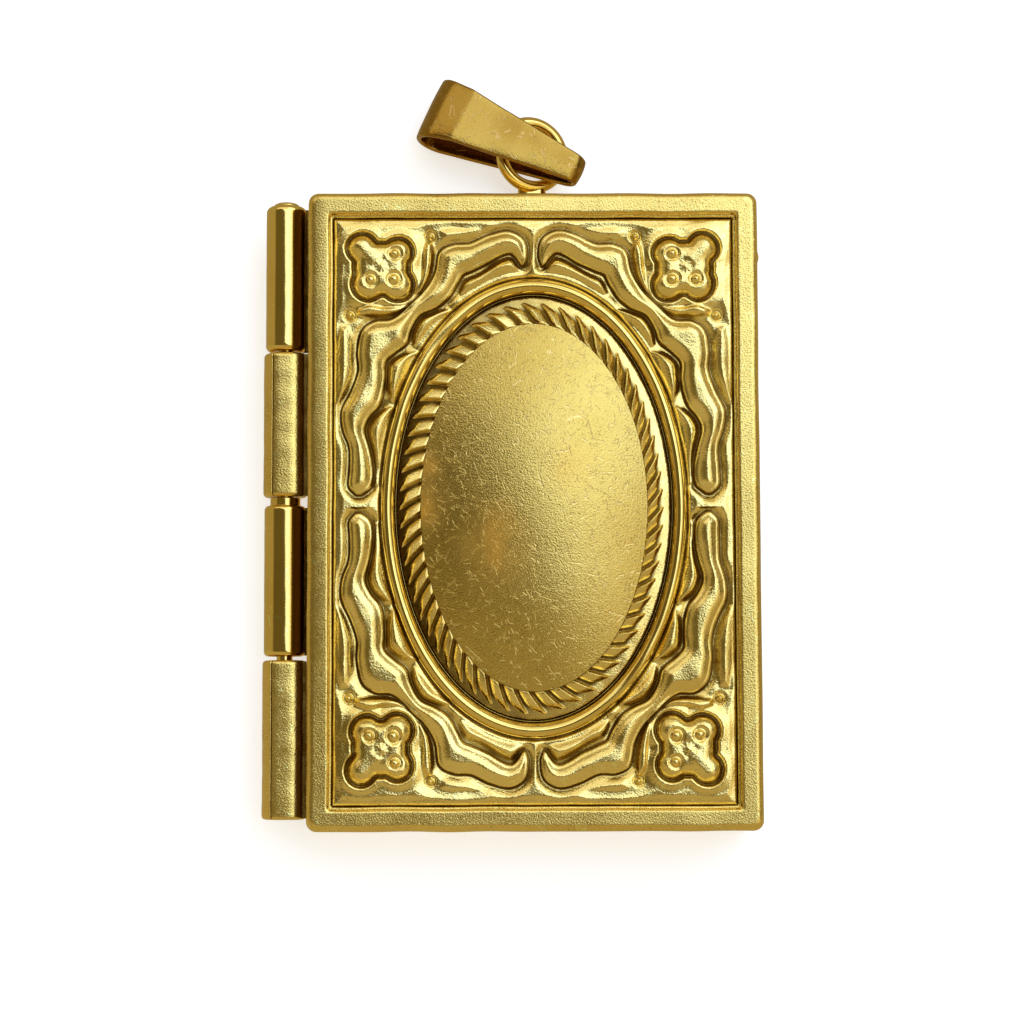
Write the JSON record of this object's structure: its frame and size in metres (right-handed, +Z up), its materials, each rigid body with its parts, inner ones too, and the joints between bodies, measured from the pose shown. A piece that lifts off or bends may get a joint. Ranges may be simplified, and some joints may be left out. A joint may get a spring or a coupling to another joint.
{
  "type": "book locket",
  "caption": "Book-shaped brass locket with a hinged ornamented cover, an oval dome in a rope border, a soldered ring and a folded strap bail.",
  "frame": {"origin": "the middle of the back cover's flat outer face, which the locket lies on", "axes": "+X from the spine to the opening edge, +Y towards the hanging ring, +Z up through the front cover"},
  "size_m": [0.0221, 0.0337, 0.0048],
  "materials": {
    "front_cover": "worn satin, tarnish in the grooves",
    "back_cover": "worn polish with fine scratches",
    "hinge_pin": "polished",
    "bail": "worn polish with small nicks"
  },
  "bodies": {
    "case": {"back_cover": "back_cover", "hinge_pin": "hinge_pin", "bail": "bail"},
    "cover": {"front_cover": "front_cover"}
  },
  "joints": [
    {"name": "cover_hinge", "type": "hinge", "parent": "case", "child": "cover", "pos_m": [-0.011, 0, 0.00208], "axis": [0, -1, 0], "range_deg": [0, 170]}
  ]
}
